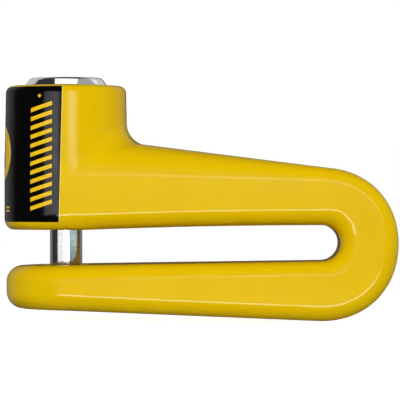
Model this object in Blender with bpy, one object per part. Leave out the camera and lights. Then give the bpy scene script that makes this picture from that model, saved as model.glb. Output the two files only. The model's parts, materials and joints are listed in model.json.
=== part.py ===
"""Motorcycle brake disc lock: a hairpin body whose slot takes the disc, and a sprung plunger in the boss
at its open end, which carries the locking pin across the slot and the disc detainer lock that holds it.

Metres. +Z is up along the locking pin, +X points to the closed end of the slot, and the origin is the
centre of the body's bounding box, at its lowest point. Heights are above that point. Shapes are made
about the pin's axis, and each object is then placed on it, so a moving piece's origin lies on its joint.
"""

import math

import bmesh
import bpy

GAP = 0.0003  # between pieces that touch
OVERCUT = 0.002  # how far a cutter passes the face that it opens

# Boss, in radii about the pin's axis
BOSS_TOP = 0.0723
BOSS_R = 0.0191
BOSS_TOP_R = 0.01855
BOSS_DRAFT_FROM = 0.0476
BOSS_RIM_R = 0.0022
BOSS_HIDDEN_FROM = 0.040

# Hairpin, seen from the side
BEND_R = 0.02352
BEND_X = 0.07888
BEND_FULLNESS = 0.0004  # beyond a round bend, at 45 degrees up and down
SLOT_END_R = 0.0055
SLOT_END_X = 0.0789
SLOT_END_Z = 0.0239
ARM_TOP_SLOPE = math.radians(7.2)
ARM_BOTTOM_SLOPE = math.radians(2.5)
TIP_BOTTOM_RISE = 0.02  # slope of the lower arm's underside beyond the pin
SLOT_ROOF_Z = 0.0280  # level over the pin
SLOT_ROOF_LEVEL_TO = 0.007
SLOT_FLOOR_Z = 0.0172  # at the pin
SLOT_FLOOR_RISE = 0.0140

# Hairpin, seen from above: flat sides tangent to the boss, closing in towards the bend
SIDE_TAPER = math.radians(3.6)
TIP_R = 0.0184

# Rounding of the hairpin's long edges
EDGE_R = 0.0048
SHOULDER_R = 0.0126  # upper arm's top edge at the pin, running out into EDGE_R at the bend
BOSS_EDGE_R = 0.0037  # round the boss's underside
TIP_EDGE_R = 0.0051  # round the lower arm's tip
EDGE_CHANGE = 0.030  # how far from the pin the last two run out into EDGE_R
ARM_STATIONS = (0.010, 0.020, 0.032, 0.044, 0.056, 0.068)  # sections along each arm

# Bores
BORE_R = 0.0153
BORE_FLOOR = 0.0328
BUSH_HOLE_R = 0.0072
SOCKET_FLOOR = 0.0074
GUIDE_BORE_R = 0.0033
GUIDE_BORE_END = -0.013

# Sleeve and wiper in the boss
SLEEVE_R = 0.0150
SLEEVE_BORE_R = 0.0130
SLEEVE_Z = (0.0346, 0.0699)
WIPER_Z = (0.0702, 0.0720)
WIPER_LIP = 0.0004

# Rings that the pin passes into
BUSH_R = 0.0069
BUSH_BORE_R = 0.0053
WASHER_THICK = 0.0010

# Pin and plunger, locked
PIN_R = 0.0050
PIN_TIP = 0.0092
PIN_CHAMFER = 0.0010
PIN_TAIL_R = 0.0032
PIN_TAIL_TOP = 0.0453
CROSS_PIN_R = 0.0010
CROSS_PIN_Z = 0.0439
CROSS_PIN_HALF = 0.0121
PLUNGER_R = 0.0127
PLUNGER_BOTTOM = 0.0420
PLUNGER_TOP = 0.0748
HOUSING_SHOULDER = 0.0680
HOUSING_NECK_R = 0.0112
HOUSING_TOP = 0.0726
CAVITY_R = 0.0085
CAVITY_FLOOR = 0.0503
CAP_WALL_R = 0.0115  # inside the cap's wall
CAP_BORE_R = 0.0070
TRAVEL = 0.020

# Latch
LATCH_Z = (0.0465, 0.0495)
LATCH_HALF_WIDTH = 0.0035
LATCH_NOSE = 0.0143
LATCH_TAIL = -0.0036
LATCH_STROKE = 0.0021
LATCH_SPRING_R = 0.0014  # of its bore
PEG_R = 0.0008
PEG_X = 0.00099
PEG_Y = -0.00099
PEG_LOW = 0.0469
PEG_SLOT_DEPTH = 0.0014

# Guide screw, along -X under the label
GUIDE_Z = 0.0660
GUIDE_R = 0.0030
GUIDE_TIP_R = 0.0020
GUIDE_HEAD_X = -0.0178
GUIDE_NECK_X = -0.0157
GUIDE_NOSE_X = -0.0107
GUIDE_HEX_R = 0.0015
GROOVE_X = -0.0103  # floor of the plunger's groove

# Key rotor and the cam under it
ROTOR_R = 0.0082
ROTOR_LOW = 0.0536
ROTOR_SHOULDER = 0.0723
ROTOR_HEAD_R = 0.0067
ROTOR_SUNK = 0.0007  # face below the cap's
ROTOR_CAVITY_TOP = 0.0704
CAM_TOP = 0.0533
CAM_TAB_X = (0.0069, 0.0079)
CAM_TAB_TOP = 0.0548
KEYWAY_R = 0.0036
KEYWAY_FLAT = -0.0008

# Detainer stack, from the top down
STACK_TOP = 0.0682
GUARD_THICK = 0.0016
DISC_R = 0.0063
DISC_THICK = 0.0012
SPACER_THICK = 0.0005
SPACER_BORE_R = 0.0040
SPACER_R = 0.0050
DISC_COUNT = 6
GATE_HALF_WIDTH = 0.0013
GATE_DEPTH = 0.0011
SIDEBAR_HALF_WIDTH = 0.0010
SIDEBAR_DEPTH = 0.0008  # into the discs

LABEL_Z = (0.0304, 0.0698)
LABEL_THICK = 0.0003
LABEL_HALF_SPAN = math.radians(86)

PIN_X = -(BEND_X + BEND_R - BOSS_R) / 2

LEFT_STEPS = 20
RIGHT_STEPS = 18
BEND_STEPS = 20
CORNER_STEPS = 5


# ---------------------------------------------------------------- scene and materials


def clear_scene():
    for obj in list(bpy.data.objects):
        bpy.data.objects.remove(obj, do_unlink=True)


def material(name, colour, metallic, roughness):
    made = bpy.data.materials.new(name)
    made.use_nodes = True
    shader = made.node_tree.nodes["Principled BSDF"]
    shader.inputs["Base Color"].default_value = (*colour, 1.0)
    shader.inputs["Metallic"].default_value = metallic
    shader.inputs["Roughness"].default_value = roughness
    return made


def place(name, bm, finish, parent=None):
    """One object from a mesh made about the pin's axis."""
    bmesh.ops.recalc_face_normals(bm, faces=bm.faces)
    mesh = bpy.data.meshes.new(name)
    bm.to_mesh(mesh)
    bm.free()
    mesh.shade_smooth()
    mesh.set_sharp_from_angle(angle=math.radians(35))
    obj = bpy.data.objects.new(name, mesh)
    bpy.context.collection.objects.link(obj)
    obj.parent = parent
    if parent is None:
        obj.location = (PIN_X, 0, 0)
    obj.data.materials.append(finish)
    return obj


def pivot(name, parent=None):
    """An empty on the pin's axis, which a moving body's pieces are parented to."""
    empty = bpy.data.objects.new(name, None)
    bpy.context.collection.objects.link(empty)
    empty.parent = parent
    if parent is None:
        empty.location = (PIN_X, 0, 0)
    return empty


def cut(target, name, bm):
    """Take a hidden cutter's shape out of the target."""
    cutter = place(name, bm, target.data.materials[0], target.parent)
    cutter.hide_render = True
    cutter.display_type = "WIRE"
    boolean = target.modifiers.new(name, "BOOLEAN")
    boolean.operation = "DIFFERENCE"
    boolean.solver = "EXACT"
    boolean.object = cutter


# ---------------------------------------------------------------- shape helpers


def full_turn(steps):
    return [math.tau * i / steps for i in range(steps)]


def revolve(profile, angles):
    """Turn a closed (radius, height) outline about Z, with a vertex at each angle."""
    bm = bmesh.new()
    rings = []
    for radius, height in profile:
        at = angles if radius > 0 else [0.0]
        rings.append([bm.verts.new((radius * math.cos(a), radius * math.sin(a), height)) for a in at])
    for ring, after in zip(rings, rings[1:] + rings[:1]):
        if len(ring) == len(after) == 1:
            continue
        for i in range(len(angles)):
            j = (i + 1) % len(angles)
            corners = [ring[i % len(ring)], ring[j % len(ring)], after[j % len(after)], after[i % len(after)]]
            bm.faces.new(list(dict.fromkeys(corners)))
    return bm


def tube(inner, outer, low, high, steps=32):
    return revolve([(outer, low), (outer, high), (inner, high), (inner, low)], full_turn(steps))


def rod(radius, low, high, steps=32):
    return revolve([(0, low), (radius, low), (radius, high), (0, high)], full_turn(steps))


def sector(profile, start, end, steps):
    """Part of a turned ring, closed by flat ends."""
    bm = bmesh.new()
    rings = []
    for i in range(steps + 1):
        a = start + (end - start) * i / steps
        rings.append([bm.verts.new((r * math.cos(a), r * math.sin(a), z)) for r, z in profile])
    for ring, after in zip(rings, rings[1:]):
        for i in range(len(profile)):
            j = (i + 1) % len(profile)
            bm.faces.new([ring[i], ring[j], after[j], after[i]])
    bm.faces.new(rings[0])
    bm.faces.new(rings[-1])
    return bm


def box(low, high):
    bm = bmesh.new()
    bmesh.ops.create_cube(bm, size=1.0)
    for vert in bm.verts:
        vert.co = [(a + b) / 2 + c * (b - a) for a, b, c in zip(low, high, vert.co)]
    return bm


def laid_along_x(bm, z):
    """Turn a shape made along Z so that it runs along X at a height."""
    for vert in bm.verts:
        x, y, along = vert.co
        vert.co = (along, y, z + x)
    return bm


def laid_along_y(bm, z):
    for vert in bm.verts:
        x, y, along = vert.co
        vert.co = (x, along, z + y)
    return bm


def coil(radius, wire, low, high, turns, steps=20, sides=8):
    """A round-wire spring about Z, between two heights."""
    bm = bmesh.new()
    count = round(turns * steps)
    rise = high - low - 2 * wire
    rings = []
    for i in range(count + 1):
        a = math.tau * i / steps
        centre = low + wire + rise * i / count
        ring = []
        for k in range(sides):
            b = math.tau * k / sides
            r = radius + wire * math.cos(b)
            ring.append(bm.verts.new((r * math.cos(a), r * math.sin(a), centre + wire * math.sin(b))))
        rings.append(ring)
    for ring, after in zip(rings, rings[1:]):
        for k in range(sides):
            n = (k + 1) % sides
            bm.faces.new([ring[k], ring[n], after[n], after[k]])
    bm.faces.new(rings[0])
    bm.faces.new(rings[-1])
    return bm


def corner_angles():
    return [math.pi / 2 * i / CORNER_STEPS for i in range(CORNER_STEPS + 1)]


# ---------------------------------------------------------------- hairpin outline


def arm_top(x):
    tangent_x = BEND_X + BEND_R * math.sin(ARM_TOP_SLOPE)
    tangent_z = BEND_R + BEND_R * math.cos(ARM_TOP_SLOPE)
    return tangent_z + (tangent_x - x) * math.tan(ARM_TOP_SLOPE)


def arm_bottom(x):
    tangent_x = BEND_X - BEND_R * math.sin(ARM_BOTTOM_SLOPE)
    tangent_z = BEND_R - BEND_R * math.cos(ARM_BOTTOM_SLOPE)
    along_arm = (tangent_x - max(x, 0)) * math.tan(ARM_BOTTOM_SLOPE)
    return tangent_z + along_arm - min(x, 0) * TIP_BOTTOM_RISE


def slot_roof(x):
    """Level over the pin, it rises beyond it and levels out again at the slot's end."""
    end = SLOT_END_Z + SLOT_END_R
    left = (SLOT_END_X - max(x, SLOT_ROOF_LEVEL_TO)) / (SLOT_END_X - SLOT_ROOF_LEVEL_TO)
    return end - (end - SLOT_ROOF_Z) * left**2


def slot_floor(x):
    return SLOT_FLOOR_Z + SLOT_FLOOR_RISE * x


def edge_radius(at_pin, x):
    return EDGE_R + (at_pin - EDGE_R) * max(1 - x / EDGE_CHANGE, 0)


def half_width(x):
    """Half the hairpin's thickness along Y, where its sides are flat."""
    return (BOSS_R - x * math.sin(SIDE_TAPER)) / math.cos(SIDE_TAPER)


def half_section(outer, inner, outer_r, inner_r, side):
    """Rounded side of the bar's section, from its outer edge to its inner edge."""
    across_x = outer[0] - inner[0]
    across_z = outer[1] - inner[1]
    height = math.hypot(across_x, across_z)
    points = []
    for edge, sign, radius, angles in (
        (outer, -1, outer_r, reversed(corner_angles())),
        (inner, 1, inner_r, corner_angles()),
    ):
        for a in angles:
            depth = sign * radius * (1 - math.sin(a)) / height
            x = edge[0] + across_x * depth
            z = edge[1] + across_z * depth
            points.append((x, side * (half_width(x) - radius * (1 - math.cos(a))), z))
    return points


def turned_end(wall_r, outer, inner, outer_r, inner_r, angle):
    """The same half section on a round end, in the upright plane at one angle about the pin."""
    points = []
    for edge, radius, angles in (
        (outer, outer_r, reversed(corner_angles())),
        (inner, inner_r, corner_angles()),
    ):
        inward = 1 if inner(0) > outer(0) else -1
        sign = inward if edge is outer else -inward
        for a in angles:
            r = wall_r - radius * (1 - math.cos(a))
            x = r * math.cos(angle)
            points.append((x, r * math.sin(angle), edge(x) + sign * radius * (1 - math.sin(a))))
    return points


def end_angles(start, end):
    return [start + (end - start) * i / LEFT_STEPS for i in range(LEFT_STEPS + 1)]


def hairpin():
    """The two arms and the bend as one closed skin: a bar's section led round, between two round ends."""
    bm = bmesh.new()
    tangent = math.pi / 2 - SIDE_TAPER
    around = end_angles(tangent, math.tau - tangent)

    def string(points):
        return [bm.verts.new(point) for point in points]

    def turned_strings(wall_r, outer, inner, outer_r, inner_r):
        return [string(turned_end(wall_r, outer, inner, outer_r, inner_r, a)) for a in around]

    upper = turned_strings(BOSS_R, arm_top, slot_roof, SHOULDER_R, BOSS_EDGE_R)
    lower = turned_strings(TIP_R, arm_bottom, slot_floor, TIP_EDGE_R, TIP_EDGE_R)
    upper_poles = string([(0, 0, arm_top(0)), (0, 0, slot_roof(0))])
    lower_poles = string([(0, 0, arm_bottom(0)), (0, 0, slot_floor(0))])

    def loop_of(strings, poles):
        return [poles[0], *strings[0], poles[1], *reversed(strings[-1])]

    def section_loop(outer, inner, outer_r, inner_r):
        far = string(half_section(outer, inner, outer_r, inner_r, 1))
        near = string(half_section(outer, inner, outer_r, inner_r, -1))
        poles = string([(outer[0], 0, outer[1]), (inner[0], 0, inner[1])])
        return loop_of([far, near], poles)

    loops = [loop_of(upper, upper_poles)]
    for x in ARM_STATIONS:
        shoulder = SHOULDER_R + (EDGE_R - SHOULDER_R) * x / BEND_X
        under = edge_radius(BOSS_EDGE_R, x)
        loops.append(section_loop((x, arm_top(x)), (x, slot_roof(x)), shoulder, under))
    loops += [section_loop(*ends, EDGE_R, EDGE_R) for ends in bend_ends()]
    for x in reversed(ARM_STATIONS):
        radius = edge_radius(TIP_EDGE_R, x)
        loops.append(section_loop((x, arm_bottom(x)), (x, slot_floor(x)), radius, radius))
    loops.append(loop_of(lower, lower_poles))

    count = len(loops[0])
    for loop, after in zip(loops, loops[1:]):
        for i in range(count):
            j = (i + 1) % count
            bm.faces.new([loop[i], loop[j], after[j], after[i]])
    for strings, poles in ((upper, upper_poles), (lower, lower_poles)):
        for a, b in zip(strings, strings[1:]):
            bm.faces.new([poles[0], a[0], b[0]])
            bm.faces.new([poles[1], a[-1], b[-1]])
            for i in range(len(a) - 1):
                bm.faces.new([a[i], a[i + 1], b[i + 1], b[i]])
    return bm


def bend_ends():
    """Outer and inner points of the sections round the bend, with one section at its lowest point."""
    ends = []
    for i in range(BEND_STEPS + 1):
        to_lowest = min(i / (BEND_STEPS - 1), 1)
        outer_a = math.pi / 2 - ARM_TOP_SLOPE - (math.pi - ARM_TOP_SLOPE) * to_lowest
        if i == BEND_STEPS:
            outer_a -= ARM_BOTTOM_SLOPE
        inner_a = math.pi / 2 - math.pi * i / BEND_STEPS
        outer_r = BEND_R + BEND_FULLNESS * math.sin(2 * outer_a) ** 2
        outer = (BEND_X + outer_r * math.cos(outer_a), BEND_R + outer_r * math.sin(outer_a))
        inner = (SLOT_END_X + SLOT_END_R * math.cos(inner_a), SLOT_END_Z + SLOT_END_R * math.sin(inner_a))
        ends.append((outer, inner))
    return ends


# ---------------------------------------------------------------- body and what is fixed in it


def boss_radius(z):
    """The boss is upright beside the arm and drafted above it."""
    above = max(z - BOSS_DRAFT_FROM, 0) / (BOSS_TOP - BOSS_DRAFT_FROM)
    return BOSS_R + (BOSS_TOP_R - BOSS_R) * above


def boss_angles():
    tangent = math.pi / 2 - SIDE_TAPER
    left = end_angles(tangent, math.tau - tangent)
    right = [-tangent + 2 * tangent * i / RIGHT_STEPS for i in range(1, RIGHT_STEPS)]
    return left + right


def boss():
    sunk = 0.00002  # under the hairpin's wall, so that the two never share a face
    rim = BOSS_TOP - BOSS_RIM_R
    profile = [
        (0, BOSS_HIDDEN_FROM),
        (BOSS_R - sunk, BOSS_HIDDEN_FROM),
        (BOSS_R - sunk, BOSS_DRAFT_FROM),
    ]
    for a in corner_angles():
        r = boss_radius(rim) - BOSS_RIM_R * (1 - math.cos(a))
        profile.append((r, rim + BOSS_RIM_R * math.sin(a)))
    profile.append((0, BOSS_TOP))
    return revolve(profile, boss_angles())


def label_outline(inner, outer, low, high):
    """Section of the band under or at the boss's wall, at two depths below it."""
    heights = [low, BOSS_DRAFT_FROM, high]
    wall = [(boss_radius(z) - outer, z) for z in heights]
    back = [(boss_radius(z) - inner, z) for z in reversed(heights)]
    return wall + back


def label_span(clear):
    margin = clear / BOSS_R
    return math.pi - LABEL_HALF_SPAN + margin, math.pi + LABEL_HALF_SPAN - margin


def make_body(finish):
    body = place("lock_body", hairpin(), finish)
    upright = place("boss_blank", boss(), finish)
    upright.hide_render = True
    upright.display_type = "WIRE"
    join = body.modifiers.new("boss", "BOOLEAN")
    join.operation = "UNION"
    join.solver = "EXACT"
    join.object = upright
    start, end = label_span(0)
    low, high = LABEL_Z
    recess = label_outline(2 * LABEL_THICK, -OVERCUT, low - GAP, high + GAP)
    cut(body, "label_recess", sector(recess, start, end, LEFT_STEPS))
    cut(body, "plunger_bore", rod(BORE_R, BORE_FLOOR, BOSS_TOP + OVERCUT, 48))
    cut(body, "bush_bore", rod(BUSH_HOLE_R, SOCKET_FLOOR, BORE_FLOOR + OVERCUT))
    guide_bore = rod(GUIDE_BORE_R, -BOSS_R - OVERCUT, GUIDE_BORE_END, 24)
    cut(body, "guide_bore", laid_along_x(guide_bore, GUIDE_Z))
    return body


def make_label(finish):
    start, end = label_span(GAP)
    outline = label_outline(LABEL_THICK, 0, *LABEL_Z)
    return place("wrap_label", sector(outline, start, end, LEFT_STEPS), finish)


def make_sleeve(finish):
    sleeve = place("barrel_sleeve", tube(SLEEVE_BORE_R, SLEEVE_R, *SLEEVE_Z, 40), finish)
    half = LATCH_HALF_WIDTH + GAP
    channel_low = (SLEEVE_BORE_R - OVERCUT, -half, LATCH_Z[0] - GAP)
    channel_high = (SLEEVE_R + OVERCUT, half, SLEEVE_Z[1] + OVERCUT)
    cut(sleeve, "latch_channel", box(channel_low, channel_high))
    guide_hole = rod(GUIDE_TIP_R + GAP, -SLEEVE_R - OVERCUT, OVERCUT - SLEEVE_BORE_R, 20)
    cut(sleeve, "guide_hole", laid_along_x(guide_hole, GUIDE_Z))
    return sleeve


def make_wiper(finish):
    low, high = WIPER_Z
    profile = [
        (SLEEVE_R, low),
        (SLEEVE_R, high - WIPER_LIP),
        (SLEEVE_R - WIPER_LIP, high),
        (SLEEVE_BORE_R + WIPER_LIP, high),
        (SLEEVE_BORE_R, high - WIPER_LIP),
        (SLEEVE_BORE_R, low),
    ]
    return place("wiper_seal", revolve(profile, full_turn(40)), finish)


def make_guide_screw(finish):
    """A grub screw whose nose stands in the plunger's groove and limits its travel."""
    neck = 0.0003
    nose = 0.0004
    profile = [
        (0, GUIDE_HEAD_X),
        (GUIDE_R, GUIDE_HEAD_X),
        (GUIDE_R, GUIDE_NECK_X),
        (GUIDE_TIP_R, GUIDE_NECK_X + neck),
        (GUIDE_TIP_R, GUIDE_NOSE_X - nose),
        (GUIDE_TIP_R - nose, GUIDE_NOSE_X),
        (0, GUIDE_NOSE_X),
    ]
    screw = place("guide_screw", laid_along_x(revolve(profile, full_turn(20)), GUIDE_Z), finish)
    hex_depth = 0.0016
    hexagon = rod(GUIDE_HEX_R, GUIDE_HEAD_X - OVERCUT, GUIDE_HEAD_X + hex_depth, 6)
    cut(screw, "hex_socket", laid_along_x(hexagon, GUIDE_Z))
    return screw


def make_bushes(finish):
    sunk = 0.0006
    bush = tube(BUSH_BORE_R, BUSH_R, SLOT_ROOF_Z + sunk, BORE_FLOOR - GAP)
    place("pin_bush", bush, finish)
    floor = SOCKET_FLOOR + GAP
    mouth = SLOT_FLOOR_Z - 0.0008
    lead_in = 0.0004
    thick = 0.0010
    cup = [
        (0, floor),
        (BUSH_R, floor),
        (BUSH_R, mouth),
        (BUSH_BORE_R + lead_in, mouth),
        (BUSH_BORE_R, mouth - lead_in),
        (BUSH_BORE_R, floor + thick),
        (0, floor + thick),
    ]
    place("pin_socket", revolve(cup, full_turn(32)), finish)


def make_spring_set(steel, spring_steel):
    top = BORE_FLOOR + GAP + WASHER_THICK
    seat = tube(0.0056, 0.0124, BORE_FLOOR + GAP, top)
    place("spring_washer", seat, steel)
    spring = coil(0.0088, 0.00065, top + GAP, PLUNGER_BOTTOM - GAP, 3.5, steps=24)
    place("return_spring", spring, spring_steel)


# ---------------------------------------------------------------- plunger


def make_plunger(chrome, zinc, steel, parent):
    chamfer = 0.0006
    profile = [
        (0, PLUNGER_BOTTOM),
        (PLUNGER_R - chamfer, PLUNGER_BOTTOM),
        (PLUNGER_R, PLUNGER_BOTTOM + chamfer),
        (PLUNGER_R, HOUSING_SHOULDER),
        (HOUSING_NECK_R, HOUSING_SHOULDER),
        (HOUSING_NECK_R, HOUSING_TOP),
        (CAVITY_R, HOUSING_TOP),
        (CAVITY_R, CAVITY_FLOOR),
        (0, CAVITY_FLOOR),
    ]
    housing = place("plunger_housing", revolve(profile, full_turn(40)), zinc, parent)
    tail_hole = rod(PIN_TAIL_R + GAP, PLUNGER_BOTTOM - OVERCUT, PIN_TAIL_TOP + GAP, 24)
    cut(housing, "tail_hole", tail_hole)
    half = LATCH_HALF_WIDTH + GAP
    way_low = (LATCH_TAIL - LATCH_STROKE - GAP, -half, LATCH_Z[0] - GAP)
    way_high = (PLUNGER_R + OVERCUT, half, LATCH_Z[1] + GAP)
    cut(housing, "latch_way", box(way_low, way_high))
    spring_way = laid_along_x(rod(LATCH_SPRING_R, -0.0098, 0.0, 16), sum(LATCH_Z) / 2)
    cut(housing, "latch_spring_way", spring_way)
    cut(housing, "peg_opening", rod(0.0030, sum(LATCH_Z) / 2, CAVITY_FLOOR + OVERCUT, 24))
    cross_hole = rod(CROSS_PIN_R + GAP, -PLUNGER_R - OVERCUT, PLUNGER_R + OVERCUT, 18)
    cut(housing, "cross_hole", laid_along_y(cross_hole, CROSS_PIN_Z))
    tip = GUIDE_TIP_R + GAP
    groove_low = (-PLUNGER_R - OVERCUT, -tip, GUIDE_Z - TRAVEL - tip)
    cut(housing, "guide_groove", box(groove_low, (GROOVE_X, tip, GUIDE_Z + tip)))

    lip = 0.0004
    cap_profile = [
        (CAP_WALL_R, HOUSING_SHOULDER + GAP),
        (PLUNGER_R, HOUSING_SHOULDER + GAP),
        (PLUNGER_R, PLUNGER_TOP - 0.0022),
        (PLUNGER_R - 0.0003, PLUNGER_TOP - 0.0017),
        (PLUNGER_R - 0.0016, PLUNGER_TOP - 0.0004),
        (PLUNGER_R - 0.0023, PLUNGER_TOP),
        (CAP_BORE_R + lip, PLUNGER_TOP),
        (CAP_BORE_R, PLUNGER_TOP - lip),
        (CAP_BORE_R, HOUSING_TOP + GAP),
        (CAP_WALL_R, HOUSING_TOP + GAP),
    ]
    place("face_cap", revolve(cap_profile, full_turn(48)), chrome, parent)

    pin_profile = [
        (0, PIN_TIP),
        (PIN_R - PIN_CHAMFER, PIN_TIP),
        (PIN_R, PIN_TIP + PIN_CHAMFER),
        (PIN_R, PLUNGER_BOTTOM - GAP),
        (PIN_TAIL_R, PLUNGER_BOTTOM - GAP),
        (PIN_TAIL_R, PIN_TAIL_TOP),
        (0, PIN_TAIL_TOP),
    ]
    pin = place("locking_pin", revolve(pin_profile, full_turn(32)), steel, parent)
    pin_hole = rod(CROSS_PIN_R + GAP, -PIN_R - OVERCUT, PIN_R + OVERCUT, 18)
    cut(pin, "pin_cross_hole", laid_along_y(pin_hole, CROSS_PIN_Z))
    cross = laid_along_y(rod(CROSS_PIN_R, -CROSS_PIN_HALF, CROSS_PIN_HALF, 16), CROSS_PIN_Z)
    place("cross_pin", cross, steel, parent)


def make_latch(steel, spring_steel, parent):
    low, high = LATCH_Z
    blank = box((LATCH_TAIL, -LATCH_HALF_WIDTH, low), (LATCH_NOSE, LATCH_HALF_WIDTH, high))
    latch = place("latch_bolt", blank, steel, parent)
    reach = PEG_R + GAP
    slot_low = (PEG_X - reach, -PEG_SLOT_DEPTH - reach, low - OVERCUT)
    slot_high = (PEG_X + reach, PEG_Y + reach + GAP, high + OVERCUT)
    cut(latch, "peg_slot", box(slot_low, slot_high))
    bevel = latch.modifiers.new("edges", "BEVEL")
    bevel.width = 0.0003
    bevel.segments = 1
    bevel.limit_method = "ANGLE"
    spring_length = 0.0031
    tail = LATCH_TAIL - GAP
    spring = coil(0.0008, 0.00022, tail - spring_length, tail, 4, steps=10, sides=6)
    place("latch_spring", laid_along_x(spring, (low + high) / 2), spring_steel, parent)


# ---------------------------------------------------------------- key rotor and its stack


def make_rotor(brass, steel, parent):
    face = PLUNGER_TOP - ROTOR_SUNK
    edge = 0.0003
    cavity_r = DISC_R + GAP
    profile = [
        (ROTOR_R, ROTOR_LOW),
        (ROTOR_R, ROTOR_SHOULDER),
        (ROTOR_HEAD_R, ROTOR_SHOULDER),
        (ROTOR_HEAD_R, face - edge),
        (ROTOR_HEAD_R - edge, face),
        (0, face),
        (0, ROTOR_CAVITY_TOP),
        (cavity_r, ROTOR_CAVITY_TOP),
        (cavity_r, ROTOR_LOW),
    ]
    rotor = place("key_rotor", revolve(profile, full_turn(32)), steel, parent)
    cut(rotor, "keyway", keyway(ROTOR_CAVITY_TOP - OVERCUT, face + OVERCUT))
    slot_low = (cavity_r - OVERCUT, -GATE_HALF_WIDTH, ROTOR_LOW - OVERCUT)
    slot_high = (ROTOR_R + OVERCUT, GATE_HALF_WIDTH, STACK_TOP + 2 * GAP)
    cut(rotor, "sidebar_slot", box(slot_low, slot_high))

    guard_low = STACK_TOP + GAP
    guard_high = guard_low + GUARD_THICK
    guard = place("anti_drill_disc", rod(DISC_R, guard_low, guard_high, 28), steel, parent)
    cut(guard, "guard_keyway", keyway(guard_low - OVERCUT, guard_high + OVERCUT))

    pitch = DISC_THICK + SPACER_THICK + 2 * GAP
    for i in range(DISC_COUNT):
        top = STACK_TOP - pitch * i
        low = top - DISC_THICK
        disc = place(f"detainer_disc_{i + 1}", rod(DISC_R, low, top, 28), brass, parent)
        cut(disc, f"disc_keyway_{i + 1}", keyway(low - OVERCUT, top + OVERCUT))
        gate_low = (DISC_R - GATE_DEPTH, -GATE_HALF_WIDTH, low - OVERCUT)
        gate_high = (DISC_R + OVERCUT, GATE_HALF_WIDTH, top + OVERCUT)
        cut(disc, f"disc_gate_{i + 1}", box(gate_low, gate_high))
        if i + 1 < DISC_COUNT:
            under = low - GAP
            ring = tube(SPACER_BORE_R, SPACER_R, under - SPACER_THICK, under, 24)
            place(f"spacer_{i + 1}", ring, steel, parent)

    stack_low = STACK_TOP - pitch * (DISC_COUNT - 1) - DISC_THICK
    inset = 0.0001  # under the rotor's wall
    bar_low = (DISC_R - SIDEBAR_DEPTH, -SIDEBAR_HALF_WIDTH, stack_low)
    bar = box(bar_low, (ROTOR_R - inset, SIDEBAR_HALF_WIDTH, STACK_TOP))
    place("sidebar", bar, steel, parent)
    make_cam(steel, parent)


def keyway(low, high):
    """The half-round key's passage."""
    bm = bmesh.new()
    start = math.asin(KEYWAY_FLAT / KEYWAY_R)
    outline = []
    steps = 14
    for i in range(steps + 1):
        a = start + (math.pi - 2 * start) * i / steps
        outline.append((KEYWAY_R * math.cos(a), KEYWAY_R * math.sin(a)))
    base = [bm.verts.new((x, y, low)) for x, y in outline]
    bottom = bm.faces.new(base)
    lifted = bmesh.ops.extrude_face_region(bm, geom=[bottom])["geom"]
    for element in lifted:
        if isinstance(element, bmesh.types.BMVert):
            element.co.z = high
    return bm


def make_cam(steel, parent):
    """Turned by the rotor through the tab in its slot, it draws the latch back with its peg."""
    low = CAVITY_FLOOR + GAP
    rooted = 0.001
    cam = place("tail_cam", rod(ROTOR_R, low, CAM_TOP, 32), steel, parent)
    peg = rod(PEG_R, PEG_LOW, low + rooted, 12)
    for vert in peg.verts:
        vert.co.x += PEG_X
        vert.co.y += PEG_Y
    tab_low = (CAM_TAB_X[0], -SIDEBAR_HALF_WIDTH, CAM_TOP - rooted)
    tab = box(tab_low, (CAM_TAB_X[1], SIDEBAR_HALF_WIDTH, CAM_TAB_TOP))
    for name, bm in (("cam_peg", peg), ("cam_tab", tab)):
        added = place(name, bm, steel, parent)
        added.hide_render = True
        added.display_type = "WIRE"
        join = cam.modifiers.new(name, "BOOLEAN")
        join.operation = "UNION"
        join.solver = "EXACT"
        join.object = added


def main():
    clear_scene()
    coating = material("yellow_coating", (0.80, 0.52, 0.010), 0.0, 0.22)
    vinyl = material("black_vinyl", (0.010, 0.009, 0.008), 0.0, 0.30)
    chrome = material("chrome_plate", (0.80, 0.80, 0.80), 1.0, 0.10)
    steel = material("hardened_steel", (0.56, 0.56, 0.55), 1.0, 0.28)
    dark_steel = material("spring_steel", (0.16, 0.16, 0.17), 1.0, 0.38)
    brass = material("brass", (0.72, 0.53, 0.24), 1.0, 0.30)
    zinc = material("zinc_alloy", (0.48, 0.49, 0.50), 1.0, 0.42)
    rubber = material("black_rubber", (0.020, 0.020, 0.021), 0.0, 0.65)

    make_body(coating)
    make_label(vinyl)
    make_sleeve(steel)
    make_wiper(rubber)
    make_guide_screw(dark_steel)
    make_bushes(steel)
    make_spring_set(steel, dark_steel)

    plunger = pivot("plunger_slide")
    make_plunger(chrome, zinc, steel, plunger)
    latch = pivot("latch_slide", plunger)
    make_latch(steel, dark_steel, latch)
    key_turn = pivot("key_turn", plunger)
    make_rotor(brass, steel, key_turn)


main()
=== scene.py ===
"""Looks of the disc brake lock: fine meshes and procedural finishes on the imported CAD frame.

Metres, in the CAD's frame. Body sizes are about the locking pin's axis, as in the part's design.
"""

import json
import math

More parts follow.
